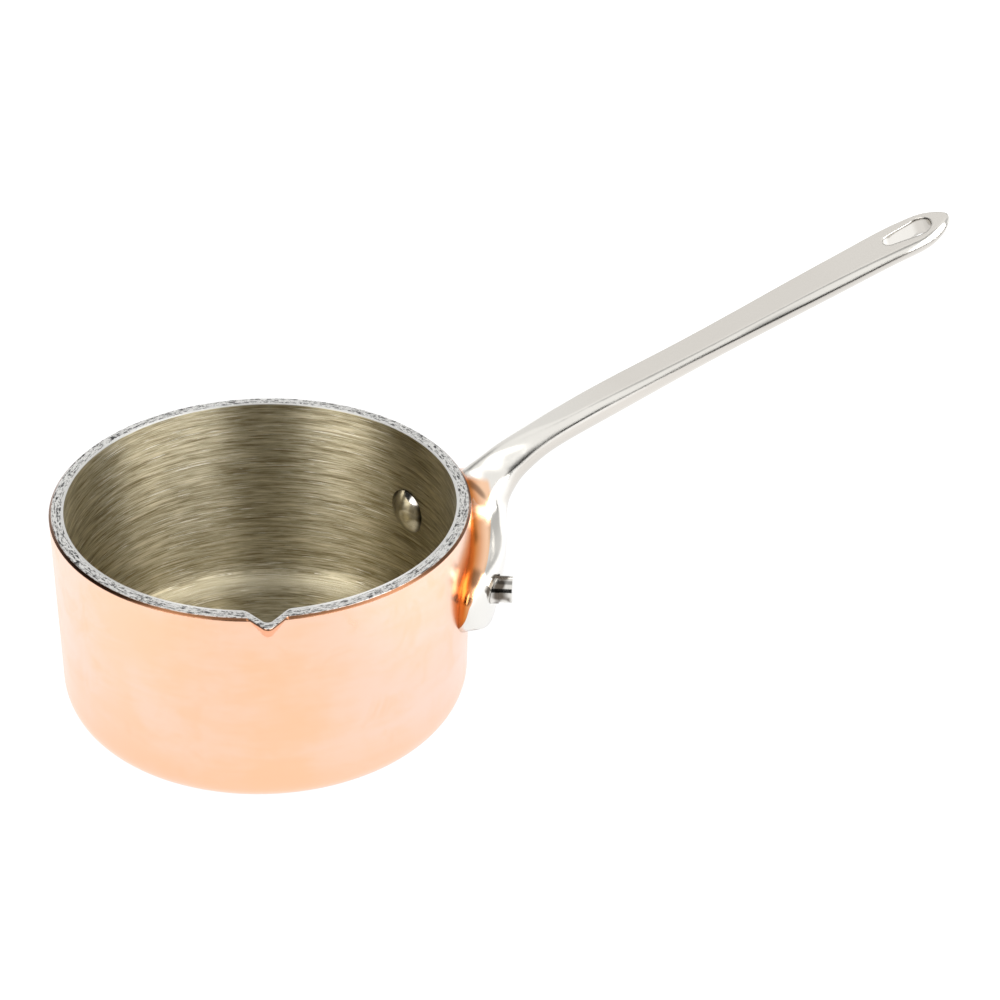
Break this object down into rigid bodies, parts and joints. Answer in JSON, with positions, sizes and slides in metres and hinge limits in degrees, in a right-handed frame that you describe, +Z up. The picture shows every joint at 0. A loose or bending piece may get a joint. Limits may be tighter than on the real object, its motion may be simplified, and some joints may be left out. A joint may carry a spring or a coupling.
{
  "type": "saucepan",
  "caption": "Small round saucepan, copper outside and steel inside, with a pouring notch in the rim and a long upswept riveted steel handle ending in a hanging slot.",
  "frame": {"origin": "centre of the flat base, on the plane it rests on", "axes": "+Z up along the pot's axis, +X along the handle from the pot towards its tip"},
  "size_m": [0.2057, 0.094, 0.0937],
  "materials": {
    "copper": "satin polished copper",
    "core": "ground edge",
    "brushed_steel": "brushed around the axis",
    "polished_steel": "mirror polished stainless steel"
  },
  "bodies": {
    "root": {"copper_skin": "copper", "aluminium_core": "core", "steel_lining": "brushed_steel", "handle": "polished_steel", "rivet_left": "polished_steel", "rivet_right": "polished_steel"}
  },
  "joints": []
}
